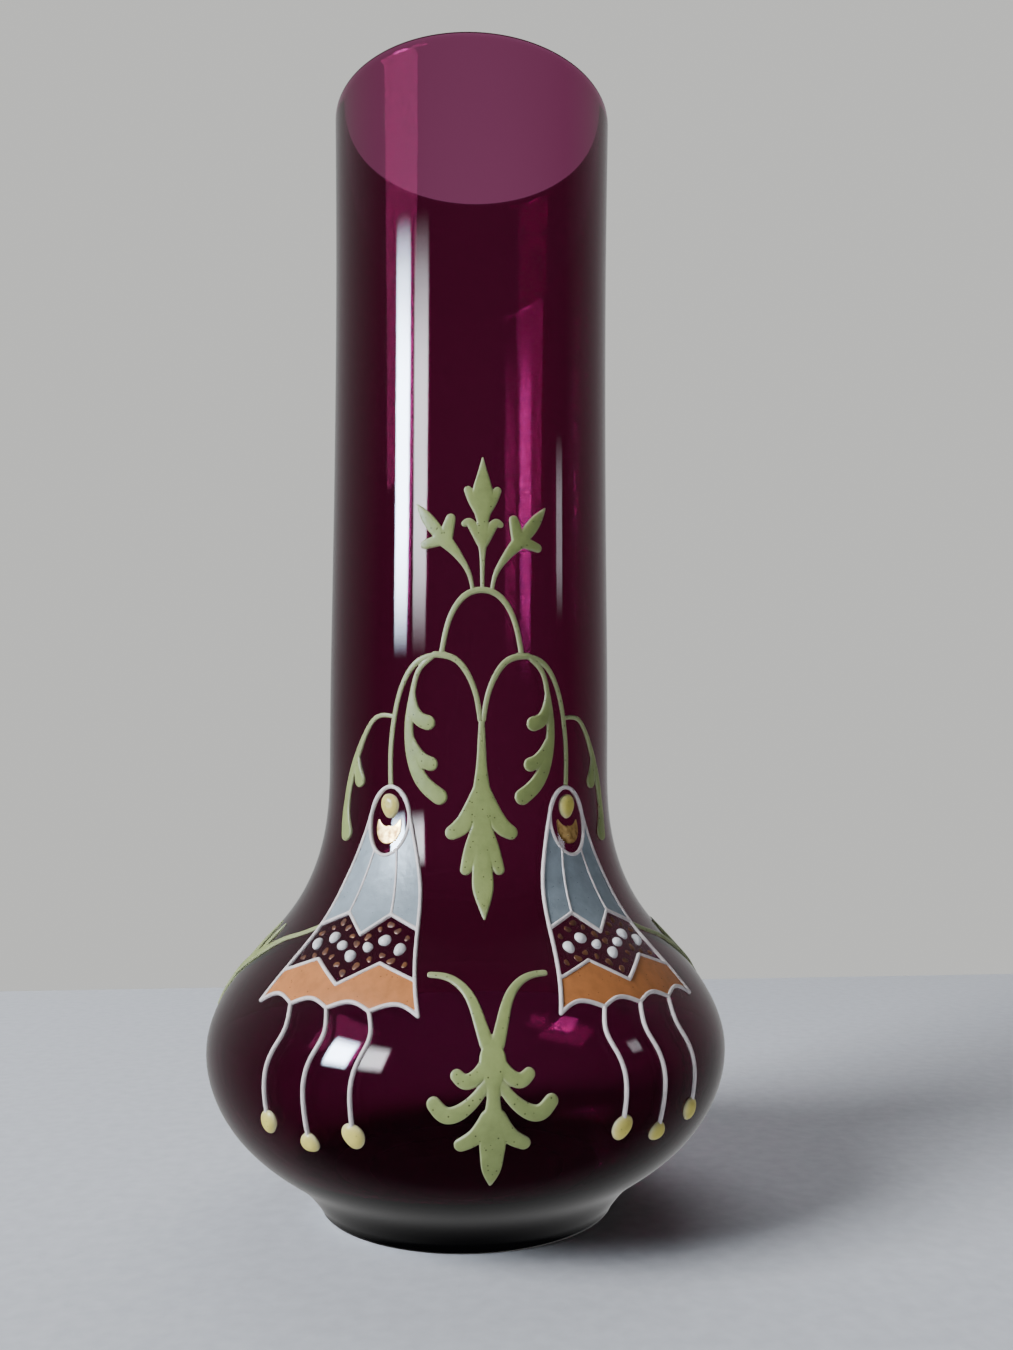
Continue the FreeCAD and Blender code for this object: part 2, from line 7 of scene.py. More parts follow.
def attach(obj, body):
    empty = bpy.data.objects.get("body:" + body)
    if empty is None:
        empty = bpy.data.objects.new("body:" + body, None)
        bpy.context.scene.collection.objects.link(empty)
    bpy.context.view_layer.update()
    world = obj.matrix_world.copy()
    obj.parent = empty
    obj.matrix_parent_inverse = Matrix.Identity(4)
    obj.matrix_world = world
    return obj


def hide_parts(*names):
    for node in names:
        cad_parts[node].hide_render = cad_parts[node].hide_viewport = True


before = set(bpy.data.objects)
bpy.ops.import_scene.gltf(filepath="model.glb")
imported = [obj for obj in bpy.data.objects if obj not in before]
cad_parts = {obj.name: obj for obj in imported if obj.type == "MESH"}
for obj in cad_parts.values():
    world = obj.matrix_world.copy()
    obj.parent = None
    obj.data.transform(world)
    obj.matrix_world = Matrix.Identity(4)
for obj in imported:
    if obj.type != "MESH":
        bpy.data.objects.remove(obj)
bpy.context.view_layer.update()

# Enamelled glass vase. Sizes are in millimetres and are turned into metres when a piece is finished.
# The ornament is laid out by arc length along the outside of the glass and by height.
# Arcs run from a motif's own middle, positive to the right as seen from outside.
MM = 0.001

# Glass: radius and height of points on the outside, and the thickness of the wall
HEIGHT = 240.0
FOOT_RADIUS = 29.0
FOOT_EDGE = 0.8
BELLY_HEIGHT = 33.0
NECK_START = 74.0
NECK_WALL = 2.0
BULB_WALL = 2.2
FLOOR_THICKNESS = 6.0
RECESS_RADIUS = 21.0
RECESS_DEPTH = 1.2
FLOOR_EDGE_HEIGHT = 11.5
RIM_ROUND = NECK_WALL / 2
FOOT_OUTSIDE = [(FOOT_RADIUS + FOOT_EDGE, FOOT_EDGE), (34.2, 6.0)]
BULB_OUTSIDE = [(39.6, 10.0), (49.4, 20.0), (53.1, BELLY_HEIGHT), (46.3, 48.0), (36.3, 60.0)]
NECK_OUTSIDE = [(30.9, NECK_START), (30.1, 92.0), (30.4, 130.0), (31.3, 205.0), (32.2, HEIGHT - RIM_ROUND)]
OUTSIDE = FOOT_OUTSIDE + BULB_OUTSIDE + NECK_OUTSIDE

# How finely the glass is drawn: points on its table, on each stretch of its half section, and round it.
# The floor rises to its edge by the power FLOOR_RISE, and points nearer than DOUBLES are merged.
TABLE_POINTS = 4001
RECESS_POINTS = 12
FOOT_POINTS = 6
SIDE_POINTS = 150
RIM_POINTS = 12
FLOOR_POINTS = 16
FLOOR_RISE = 4
SPIN_STEPS = 192
DOUBLES = 0.0005

# Enamel: height of the relief, how it meets the glass, and the half widths of the drawn lines
LINE_RELIEF = 0.9
LEAF_RELIEF = 0.5
PANEL_RELIEF = 0.24
GILT_RELIEF = 0.12
SUNK = 0.05
SWELL = 0.45
RIM_HEIGHT = 0.9
LINE = 0.35
DIVIDER = 0.28
THREAD = 0.37
STEM = 0.5

# How finely the enamel is drawn, and how its strokes are rounded and run together
VOXEL = 0.13
STROKE_STEP = 0.3
FEWEST_STROKE_POINTS = 4
CAP_STEPS = 4
CAP_REST = 0.4
TUBE_ROUNDNESS = 4
SPREAD = 0.03
SMOOTHING = 0.5
SMOOTHING_ROUNDS = 4
NEAREST_ROUNDS = 4
EYE_POINTS = 25
EYE_EDGE_POINTS = 30
FIELD_COLUMNS = 61
FIELD_ROWS = 41
HEM_COLUMNS = 81
HEM_ROWS = 15
DROP_SEGMENTS = 28
DROP_RINGS = 16

# Place of the right-hand bell's middle round the vase, in degrees from the front
BELL_AZIMUTH = 34.5

# The bell, from its own middle. Its edge and corner, the dividers and the ends of the lines are given by
# arc and height; the lines' peaks, the cusps, the tassels' sway, pearls and dots by degrees and height.
BELL_TOP = 83.5
BELL_EDGE = [(2.5, 82.0), (4.4, 78.0), (5.6, 74.0), (7.1, 69.5), (8.9, 64.0), (10.8, 57.5), (14.0, 50.3)]
HEM_CORNER = (17.2, 44.5)
HEM_CUSP_ANGLE = 9.9
HEM_CUSPS = (-HEM_CUSP_ANGLE, 0, HEM_CUSP_ANGLE)
HEM_CUSP_HEIGHT = 44.9
HEM_TOP_HEIGHT = 46.1
UPPER_LINE_PEAK = (7.3, 59.9)
UPPER_LINE_EDGE = (10.8, 57.5)
UPPER_LINE_VALLEY = 56.4
LOWER_LINE_PEAK = (9.0, 52.0)
LOWER_LINE_EDGE = (14.3, 49.6)
LOWER_LINE_VALLEY = 48.4
EYE_HEIGHT = 76.9
EYE_HALF_WIDTH = 4.4
EYE_HALF_HEIGHT = 6.5
EYE_BEAD_HEIGHT = 79.8
DIVIDER_TOP = (2.5, 71.4)
DIVIDER_BEND = (3.6, 65.5)
TASSEL_SWAY = [(0, HEM_CUSP_HEIGHT), (-1.4, 41.0), (-0.1, 38.0), (1.0, 34.5), (1.0, 30.0)]
TASSEL_END_SWAY = 0.8
TASSEL_BEAD_HEIGHTS = (25.8, 23.6, 25.8)
PEARLS = [(0, 52.9), (3.9, 54.4), (8.0, 55.6), (12.8, 54.3)]
UPPER_DOTS = [(0, 54.9), (2.5, 56.1), (5.3, 57.4), (8.1, 58.2), (10.7, 57.2), (13.9, 56.1)]
LOWER_DOTS = [(0, 50.3), (2.8, 51.5), (5.6, 52.6), (8.6, 53.3), (11.4, 52.5), (15.0, 52.0)]

# Drops on the bell: half width, half height and relief of each kind, depth and spread of a bead's
# dimple, how uneven drops are, and how the unevenness moves on from one drop to the next
PEARL = (1.08, 1.12, 0.9)
EYE_BEAD = (1.85, 2.2, 1.0)
TASSEL_BEAD = (1.9, 2.0, 1.0)
GILT_DOT = (0.62, 0.62, GILT_RELIEF)
BEAD_DIMPLE = 0.12
DIMPLE_SPREAD = 0.06
DROP_UNEVEN = 0.08
DOT_UNEVEN = 0.16
OVAL_STEP = 1.7
LUMP_STEP = 2.9
SIZE_STEP = 4.1

# Camera: where it stands, the way it looks, and its lens
CAMERA_AZIMUTH = -4.5
CAMERA_DISTANCE = 230.0
CAMERA_HEIGHT = 76.55
CAMERA_TURN = 2.03
CAMERA_TILT = 8.0
LENS = 28.0
CLIP_START = 0.01

# Floor: its reach to the sides, in front and behind, and its finish
FLOOR_SIDE = 450.0
FLOOR_FRONT = 700.0
FLOOR_BACK = 290.0
FLOOR_SCALE = 300
FLOOR_TONES = [(0.3, (0.72, 0.72, 0.76)), (0.7, (0.8, 0.8, 0.84))]
FLOOR_ROUGHNESS = 0.8

# Brightness of the surroundings: as seen, as light on the vase, and as the glass mirrors them.
# The back of the room lies along BACK_DIRECTION and comes in between BACK_START and BACK_FULL.
WALL = (0.68, 0.68, 0.66)
ROOM_LIGHT = (0.03, 0.03, 0.032)
FRONT_OF_ROOM = (0.03, 0.03, 0.035)
BACK_OF_ROOM = (0.42, 0.42, 0.42)
BACK_DIRECTION = (0, 0.98, 0.17)
BACK_START = -0.1
BACK_FULL = 0.9

# Lights: azimuth and elevation in degrees, distance, width and height in metres, and watts; their
# colours, the height in metres that they face, and the shares of a pane over which its light fades
DAYLIGHT_WINDOW = (-66, 30, 2.0, 0.9, 0.8, 61)
CEILING = (175, 58, 1.6, 1.6, 1.6, 9.5)
PANE = (-61, 20, 2.0, 0.46, 0.84, 260)
CURTAIN = (-45, 20, 2.0, 0.44, 0.84, 36)
SIDE_WINDOW = (72, 16.2, 2.0, 0.24, 0.38, 1.2)
DAYLIGHT = (0.9, 0.95, 1.0)
PANE_LIGHT = (0.62, 0.8, 1.0)
LIGHTS_FACE = 0.1
FADE_ACROSS = 0.18
FADE_UPRIGHT = 0.38

# Enamels: body colour, roughness, size of the pits, gloss, and the paler colour of a thin rim, which on the
# green is partly painted edge highlight.
# In all finishes a scale is how often a pattern repeats in a metre, and a bump is strength and metres.
ENAMELS = {
    # The green's paler rim colour is partly thinner enamel and partly painted edge highlight.
    "green_enamel": {"colour": (0.33, 0.395, 0.14), "roughness": 0.36, "pits": 0.1, "gloss": 0.2,
                     "rim": (0.47, 0.5, 0.28)},
    "white_enamel": {"colour": (0.88, 0.79, 0.77), "roughness": 0.34, "pits": 0.04},
    "pale_blue_enamel": {"colour": (0.34, 0.4, 0.445), "roughness": 0.34, "pits": 0.05, "gloss": 0.35},
    "orange_enamel": {"colour": (0.62, 0.228, 0.075), "roughness": 0.34, "pits": 0.07, "gloss": 0.3},
    "pearl_enamel": {"colour": (0.92, 0.9, 0.9), "roughness": 0.24, "pits": 0.03},
    "yellow_enamel": {"colour": (0.83, 0.71, 0.16), "roughness": 0.3, "pits": 0.05, "gloss": 0.2,
                      "rim": (0.92, 0.88, 0.6)},
}
ENAMEL_GLOSS = 0.16
MOTTLE_SCALE = 450
MOTTLE = [(0.3, 0.86), (0.55, 1.0), (0.75, 1.08)]
PIT_SCALE = 900
PIT_COLOUR = (0.25, 0.22, 0.2)
PIT_EDGE = 0.05
PIT_BUMP = (0.12, 0.0001)
SKIN_SCALE = 700
SKIN_DETAIL = 2.0
SKIN_BUMP = (0.35, 0.0002)

# Glass: its faintly uneven tint, its skin, and the colour it takes up with depth
GLASS_TINT = [(0.3, (0.72, 0.52, 0.67)), (0.7, (0.78, 0.58, 0.73))]
TINT_SCALE = 12
TINT_DETAIL = 2.0
GLASS_ROUGHNESS = 0.02
GLASS_BENDING = 1.5
GLASS_GLOSS = 0.25
GLASS_DEPTH = (0.575, 0.064, 0.37)
GLASS_DENSITY = 1100
GLASS_WAVE_SCALE = 60
GLASS_WAVE_DETAIL = 1.0
GLASS_WAVES = (0.04, 0.0006)

# Gilding, from worn to bright: where on the pattern of wear its colours lie, the colours, and the skin
WEAR_SCALE = 900
WEAR_DETAIL = 4.0
WEAR_STOPS = (0.3, 0.5, 0.7)
BRIGHT_GOLD = [(0.34, 0.16, 0.05), (0.66, 0.4, 0.14), (0.8, 0.54, 0.22)]
WORN_GOLD = [(0.08, 0.03, 0.018), (0.18, 0.07, 0.035), (0.3, 0.13, 0.05)]
GOLD_ROUGHNESS = [(0.3, (0.5, 0.5, 0.5)), (0.7, (0.26, 0.26, 0.26))]
GOLD_BUMP = (0.2, 0.0001)
BRIGHT_METAL = 0.85
WORN_METAL = 0.3


def smooth_curve(knots, values):
    """Cubic through the values at the knots, as a function of one place or an array of places."""
    steps = np.diff(knots)
    slopes = np.diff(values) / steps
    count = len(knots)
    table = np.eye(count)
    right = np.zeros(count)
    for i in range(1, count - 1):
        table[i, i - 1:i + 2] = steps[i - 1], 2 * (steps[i - 1] + steps[i]), steps[i]
        right[i] = 6 * (slopes[i] - slopes[i - 1])
    bends = np.linalg.solve(table, right)

    def value(place):
        i = np.clip(np.searchsorted(knots, place) - 1, 0, count - 2)
        low = place - np.take(knots, i)
        high = np.take(knots, i + 1) - place
        step = np.take(steps, i)
        cubic = (np.take(bends, i) * high ** 3 + np.take(bends, i + 1) * low ** 3) / (6 * step)
        first = (np.take(values, i) / step - np.take(bends, i) * step / 6) * high
        second = (np.take(values, i + 1) / step - np.take(bends, i + 1) * step / 6) * low
        return cubic + first + second

    return value


def chord_lengths(points):
    """Distance along a row of points."""
    gaps = np.linalg.norm(np.diff(np.array(points, dtype=float), axis=0), axis=1)
    return np.concatenate([[0.0], np.cumsum(gaps)])


# The outside of the glass as tables along its length: place, radius, height and outward normal
KNOTS = chord_lengths(OUTSIDE)
PLACES = np.linspace(0, KNOTS[-1], TABLE_POINTS)
RADII = smooth_curve(KNOTS, np.array([r for r, z in OUTSIDE]))(PLACES)
HEIGHTS = smooth_curve(KNOTS, np.array([z for r, z in OUTSIDE]))(PLACES)
RADIUS_SLOPES = np.gradient(RADII, PLACES)
HEIGHT_SLOPES = np.gradient(HEIGHTS, PLACES)
SPEEDS = np.hypot(RADIUS_SLOPES, HEIGHT_SLOPES)
NORMAL_RADII = HEIGHT_SLOPES / SPEEDS
NORMAL_HEIGHTS = -RADIUS_SLOPES / SPEEDS


def place_at(z):
    return np.interp(z, HEIGHTS, PLACES)


def radius_at(z):
    return np.interp(z, HEIGHTS, RADII)


def outside_point(place, relief):
    """Radius and height of a point that stands off the glass by a relief."""
    radius = np.interp(place, PLACES, RADII) + relief * np.interp(place, PLACES, NORMAL_RADII)
    z = np.interp(place, PLACES, HEIGHTS) + relief * np.interp(place, PLACES, NORMAL_HEIGHTS)
    return radius, z


def on_glass(angle, place, relief):
    """Points on the vase, in rows of x, y and z."""
    radius, z = outside_point(place, relief)
    return np.stack([radius * np.sin(angle), -radius * np.cos(angle), z], axis=-1)


def arc_at(degrees, z):
    """Arc length of an angle at a height."""
    return math.radians(degrees) * float(radius_at(z))


def deselect():
    bpy.ops.object.select_all(action="DESELECT")


def make_active(piece):
    deselect()
    piece.select_set(True)
    bpy.context.view_layer.objects.active = piece


def new_piece(name, vertices, faces, edges=()):
    """Mesh object from points in millimetres."""
    mesh = bpy.data.meshes.new(name)
    mesh.from_pydata([tuple(v) for v in vertices], edges, faces)
    piece = bpy.data.objects.new(name, mesh)
    bpy.context.scene.collection.objects.link(piece)
    return piece


def clean(piece):
    """Merges doubled points, turns the faces outwards and shades them smooth."""
    make_active(piece)
    bpy.ops.object.mode_set(mode="EDIT")
    bpy.ops.mesh.select_all(action="SELECT")
    bpy.ops.mesh.remove_doubles(threshold=DOUBLES)
    bpy.ops.mesh.normals_make_consistent(inside=False)
    bpy.ops.object.mode_set(mode="OBJECT")
    bpy.ops.object.shade_smooth()


def wall(z):
    """Thickness of the glass: a little thicker in the bulb than from the neck up."""
    share = (z - BELLY_HEIGHT) / (NECK_START - BELLY_HEIGHT)
    return BULB_WALL + (NECK_WALL - BULB_WALL) * min(max(share, 0), 1)


def vessel_profile():
    """Half section of the vessel, from the middle of the underside round to the middle of the floor."""
    radii = np.linspace(0, RECESS_RADIUS, RECESS_POINTS)
    recess = [(r, RECESS_DEPTH * (1 - (r / RECESS_RADIUS) ** 2)) for r in radii]
    turns = np.linspace(0, math.pi / 2, FOOT_POINTS)
    foot = [(FOOT_RADIUS + FOOT_EDGE * math.sin(a), FOOT_EDGE * (1 - math.cos(a))) for a in turns]
    places = np.linspace(0, KNOTS[-1], SIDE_POINTS)
    outside = [outside_point(place, 0.0) for place in places]
    mouth_radius, rim_base = OUTSIDE[-1]
    rim_middle = mouth_radius - RIM_ROUND
    rim = [(rim_middle + RIM_ROUND * math.cos(a), rim_base + RIM_ROUND * math.sin(a))
           for a in np.linspace(0, math.pi, RIM_POINTS)]
    inside = []
    for place in places[places > place_at(FLOOR_EDGE_HEIGHT)][::-1]:
        inside.append(outside_point(place, -wall(np.interp(place, PLACES, HEIGHTS))))
    corner_radius, corner_height = inside[-1]
    floor = []
    for share in np.linspace(1, 0, FLOOR_POINTS)[1:]:
        rise = (corner_height - FLOOR_THICKNESS) * share ** FLOOR_RISE
        floor.append((corner_radius * share, FLOOR_THICKNESS + rise))
    return recess + foot + outside[1:] + rim[1:] + inside[1:] + floor


def make_glass():
    """The blown vessel, spun from its half section."""
    points = [(float(r), 0.0, float(z)) for r, z in vessel_profile()]
    piece = new_piece("glass_vessel", points, [], [(i, i + 1) for i in range(len(points) - 1)])
    make_active(piece)
    bpy.ops.object.mode_set(mode="EDIT")
    bpy.ops.mesh.select_all(action="SELECT")
    bpy.ops.mesh.spin(steps=SPIN_STEPS, angle=math.tau, center=(0, 0, 0), axis=(0, 0, 1))
    bpy.ops.object.mode_set(mode="OBJECT")
    clean(piece)
    return piece


def stroke_line(path, middle):
    """Points and half widths along one brush stroke with round ends."""
    rows = np.array(path, dtype=float)
    knots = chord_lengths(rows[:, :2])
    count = max(int(knots[-1] / STROKE_STEP), FEWEST_STROKE_POINTS)
    places = np.linspace(0, knots[-1], count)
    arcs, heights, halves = (smooth_curve(knots, rows[:, i])(places) for i in range(3))
    angles = math.radians(middle) + arcs / radius_at(heights)
    points = [Vector(p) for p in on_glass(angles, place_at(heights), 0.0)]
    start = (points[0] - points[1]).normalized()
    end = (points[-1] - points[-2]).normalized()
    stroke = list(zip(points, halves))
    for i in range(1, CAP_STEPS + 1):
        turn = math.pi / 2 * i / (CAP_STEPS + CAP_REST)
        stroke.insert(0, (points[0] + start * halves[0] * math.sin(turn), halves[0] * math.cos(turn)))
        stroke.append((points[-1] + end * halves[-1] * math.sin(turn), halves[-1] * math.cos(turn)))
    return stroke


def foot_on_glass(points):
    """Place on the profile nearest to each point, its angle round the vase and its height off the glass."""
    radius = np.hypot(points[:, 0], points[:, 1])
    place = place_at(points[:, 2])
    for _ in range(NEAREST_ROUNDS):
        near_radius, near_z = outside_point(place, 0.0)
        along = (radius - near_radius) * -np.interp(place, PLACES, NORMAL_HEIGHTS)
        along += (points[:, 2] - near_z) * np.interp(place, PLACES, NORMAL_RADII)
        place = np.clip(place + along, 0, KNOTS[-1])
    near_radius, near_z = outside_point(place, 0.0)
    height = (radius - near_radius) * np.interp(place, PLACES, NORMAL_RADII)
    height += (points[:, 2] - near_z) * np.interp(place, PLACES, NORMAL_HEIGHTS)
    return np.arctan2(points[:, 0], -points[:, 1]), place, height


def settle(piece, relief):
    """Lowers a rounded piece on to the glass, where it swells to the relief at most, and marks its rim."""
    points = np.empty(len(piece.data.vertices) * 3)
    piece.data.vertices.foreach_get("co", points)
    angle, place, height = foot_on_glass(points.reshape(-1, 3))
    swelling = relief * (1 - np.exp(-np.maximum(height, 0) / SWELL))
    settled = on_glass(angle, place, np.where(height > 0, swelling, -SUNK))
    piece.data.vertices.foreach_set("co", settled.ravel())
    # Rim mask: the share of the paler rim colour, which on the green enamel is partly painted edge
    # highlight.
    rim = piece.data.attributes.new("rim", "FLOAT", "POINT")
    rim.data.foreach_set("value", np.clip((RIM_HEIGHT - height) / RIM_HEIGHT, 0, 1))
    piece.data.update()


def enamel(name, paths, relief, middle=0.0):
    """Raised enamel painted in strokes that run together, laid out from the angle of the motif's middle."""
    curve = bpy.data.curves.new(name, "CURVE")
    curve.dimensions = "3D"
    curve.bevel_depth = 1.0
    curve.bevel_resolution = TUBE_ROUNDNESS
    curve.use_fill_caps = True
    for path in paths:
        stroke = stroke_line(path, middle)
        spline = curve.splines.new("POLY")
        spline.points.add(len(stroke) - 1)
        for point, (place, half) in zip(spline.points, stroke):
            point.co = (*place, 1)
            point.radius = half + SPREAD
    piece = bpy.data.objects.new(name, curve)
    bpy.context.scene.collection.objects.link(piece)
    make_active(piece)
    bpy.ops.object.convert(target="MESH")
    piece = bpy.context.object
    piece.data.remesh_voxel_size = VOXEL
    piece.data.remesh_voxel_adaptivity = 0
    bpy.ops.object.voxel_remesh()
    smooth = piece.modifiers.new("smooth", "SMOOTH")
    smooth.factor = SMOOTHING
    smooth.iterations = SMOOTHING_ROUNDS
    bpy.ops.object.modifier_apply(modifier=smooth.name)
    settle(piece, relief)
    bpy.ops.object.shade_smooth()
    return piece


def mirrored(path):
    return [(-arc, z, half) for arc, z, half in path]


def pair(path):
    """A stroke and its mirror image."""
    return [path, mirrored(path)]


def crown_paths():
    """Three sprigs that stand on the upper arch."""
    paths = [[(0, 121.2, 0.35), (0, 126, 0.45), (0, 129.5, 0.75), (0, 132.5, 1.3), (0, 135.3, 1.05)]]
    paths += [[(0, 134.5, 1.0), (0, 137.5, 1.8), (0, 140.5, 2.1), (0, 144, 1.25), (0, 147.9, 0.15)]]
    paths += pair([(0.4, 130.5, 0.7), (1.6, 133.4, 0.95), (2.9, 134.8, 0.8), (3.5, 134.5, 0.65)])
    paths += pair([(0.8, 137.2, 1.0), (1.9, 139.6, 1.15), (2.9, 141.3, 0.8)])
    paths += pair([(1.85, 121.0, 0.35), (2.55, 124.4, 0.45), (4.4, 127.7, 0.75), (6.4, 130.2, 1.2),
                   (8.2, 132, 1.6)])
    paths += pair([(7.6, 131.4, 1.0), (10.0, 134.5, 1.3), (11.6, 136.7, 0.95), (13.2, 138.9, 0.12)])
    paths += pair([(7.3, 131.2, 1.35), (6.7, 133.9, 1.2), (6.25, 135.6, 0.95)])
    paths += pair([(8.0, 131.4, 1.2), (10.0, 130.9, 1.05), (11.4, 130.5, 0.9)])
    return paths


def upper_arch_paths():
    half = [(7.8, 109.2, 0.5), (6.9, 113.8, 0.5), (5.2, 118, 0.55), (2.7, 120.6, 0.6)]
    return [mirrored(half) + [(0, 121.3, 0.6)] + half[::-1]]


def right_arch_paths():
    """A strand down to the bell, a strand to the middle and a three-lobed leaf."""
    return [
        [(7.2, 108.7, STEM), (12.2, 107.7, 0.55), (15.6, 103.5, STEM), (17.4, 97.4, STEM),
         (18.2, 90.5, STEM), (arc_at(BELL_AZIMUTH, BELL_TOP), BELL_TOP, STEM)],
        [(9.2, 108.7, 0.6), (5.2, 107.7, 0.6), (2.7, 104.7, 0.55), (1.2, 101, STEM), (0.3, 96.0, STEM)],
        [(9.8, 108.2, STEM), (12.2, 106, STEM), (13.5, 102, 0.55), (14.2, 97, 0.8), (14.1, 92, 1.0),
         (13.0, 87.5, 1.25), (10.7, 83.6, 1.45), (8.0, 81.4, 1.55)],
        [(13.5, 102, 0.4), (13.2, 98.4, 0.95), (12.0, 96.2, 1.35), (10.4, 95.5, 1.45)],
        [(14.1, 93.5, 0.5), (12.6, 90.0, 1.05), (11.0, 88.2, 1.3), (9.7, 87.6, 1.35)],
    ]


def pendant_paths():
    """Leaf that hangs where the two arches meet."""
    paths = [[(0, 95.6, 0.55), (0, 91, 0.8), (0, 87, 1.05), (0, 83, 1.6), (0, 78, 2.2)]]
    paths += [[(0, 79, 2.0), (0, 72, 1.8), (0, 67, 1.95), (0, 64.7, 1.95), (0, 62, 1.25), (0, 59.4, 0.25)]]
    paths += pair([(0.6, 83, 1.0), (2.4, 78.2, 1.5), (4.2, 75.5, 1.6), (5.5, 74.7, 1.4)])
    paths += pair([(0.6, 76, 1.1), (1.9, 71.5, 1.45), (3.1, 67.9, 1.05)])
    return paths


def lower_sprig_paths():
    """Sprig on the front of the bulb: two curls at its top, three pairs of lobes and a point."""
    paths = [[(0, 41.4, 0.6), (0, 39.5, 1.9), (0, 37.5, 2.2), (0, 34.5, 1.4), (0, 31.5, 1.0)]]
    paths += [[(0, 33, 1.0), (0, 30, 1.5), (0, 26.5, 2.2), (0, 23.2, 1.95), (0, 20.4, 1.5),
               (0, 17.8, 0.25)]]
    paths += pair([(10.0, 50.6, 0.55), (6.9, 50.2, 0.65), (3.65, 47.8, 0.85), (2.0, 44, 1.05),
                   (0.9, 40.5, 1.2)])
    paths += pair([(0.6, 38.4, 1.2), (2.7, 35.8, 1.2), (4.6, 35.1, 1.2), (5.9, 36.0, 1.05)])
    paths += pair([(1.2, 34.6, 0.8), (4.3, 31.2, 1.15), (7.7, 30.0, 1.35), (9.6, 31.7, 1.2)])
    paths += pair([(0.9, 29.5, 1.3), (3.0, 26.4, 1.35), (5.1, 25.2, 1.15)])
    return paths


def angled(path):
    """Path given in degrees from the front, turned into arcs."""
    return [(arc_at(degrees, z), z, half) for degrees, z, half in path]


def right_sprig_paths():
    """Branch that leaves the right-hand bell and ends in a three-lobed leaf round the side of the bulb."""
    stem = [(51.0, 57.2, 0.45), (57, 55.7, STEM), (64.5, 54.3, 0.55), (70, 52.7, 0.8), (77, 50.4, 1.3),
            (84, 47.7, 1.5), (91, 44.6, 1.1), (97, 42.2, 0.2)]
    near_lobe = [(75, 51.2, 0.9), (75.2, 53.4, 0.75), (73.8, 56.4, 0.2)]
    far_lobe = [(80.5, 49.3, 1.1), (82.5, 52.6, 0.9), (83, 56.5, 0.2)]
    low_lobe = [(85, 47.4, 1.0), (89, 42.6, 0.9), (91, 39.8, 0.7)]
    return [angled(path) for path in (stem, near_lobe, far_lobe, low_lobe)]


def right_leaf_paths():
    """Leaf that hooks out of the strand above the right-hand bell and hangs beside the bell."""
    stem = [(33.6, 97.0, 0.4), (41, 97.1, 0.45), (47, 94, 0.55), (52, 89.5, 0.8), (56, 84.8, 0.9),
            (57.8, 80, 1.0), (57.0, 76.5, 1.4), (55.6, 74.6, 1.65)]
    lobe = [(51.5, 90, 0.5), (51.2, 87.2, 0.95), (50.0, 84.9, 1.45)]
    return [angled(path) for path in (stem, lobe)]


def line(*points):
    """Drawn line of even width through points of arc and height."""
    return [(arc, z, LINE) for arc, z in points]


def bell_paths():
    """White lines of a bell: its edge, eye, dividers, zigzags and scalloped hem."""
    right = BELL_EDGE + [HEM_CORNER]
    edge = line(*[(-arc, z) for arc, z in right[::-1]], (0, BELL_TOP), *right)
    turns = np.linspace(0, math.tau, EYE_POINTS)
    eye = line(*[(EYE_HALF_WIDTH * math.sin(a), EYE_HEIGHT + EYE_HALF_HEIGHT * math.cos(a)) for a in turns])
    upper_peak = (arc_at(*UPPER_LINE_PEAK), UPPER_LINE_PEAK[1])
    lower_peak = (arc_at(*LOWER_LINE_PEAK), LOWER_LINE_PEAK[1])
    paths = [edge, eye]
    paths += pair([(*point, DIVIDER) for point in (DIVIDER_TOP, DIVIDER_BEND, upper_peak)])
    paths += pair(line(UPPER_LINE_EDGE, upper_peak)) + pair(line(upper_peak, (0, UPPER_LINE_VALLEY)))
    paths += pair(line(LOWER_LINE_EDGE, lower_peak)) + pair(line(lower_peak, (0, LOWER_LINE_VALLEY)))
    cusp = arc_at(HEM_CUSP_ANGLE, HEM_CUSP_HEIGHT)
    inner = line((0, HEM_CUSP_HEIGHT), (cusp / 2, HEM_TOP_HEIGHT), (cusp, HEM_CUSP_HEIGHT))
    outer = line((cusp, HEM_CUSP_HEIGHT), ((cusp + HEM_CORNER[0]) / 2, HEM_TOP_HEIGHT), HEM_CORNER)
    return paths + pair(inner) + pair(outer)


def tassel_ends():
    """Angle from the bell's middle and height of each tassel's bead."""
    return [(cusp + TASSEL_END_SWAY, z) for cusp, z in zip(HEM_CUSPS, TASSEL_BEAD_HEIGHTS)]


def tassel_paths():
    """Three swaying threads under the hem's cusps."""
    paths = []
    for cusp, end in zip(HEM_CUSPS, tassel_ends()):
        places = [(cusp + sway, z) for sway, z in TASSEL_SWAY] + [end]
        paths.append([(arc_at(degrees, z), z, THREAD) for degrees, z in places])
    return paths


def crescent_paths():
    """Gilt crescent under the yellow bead of the eye."""
    half = [(2.45, 77.0, 0.22), (2.1, 75.9, 0.75), (1.2, 74.75, 1.5)]
    return [mirrored(half) + [(0, 74.3, 1.85)] + half[::-1]]


def bell_half_width(z):
    """Arc from the bell's middle to its edge at a height."""
    arcs, heights = zip(*(BELL_EDGE + [HEM_CORNER])[::-1])
    return np.interp(z, heights, arcs)


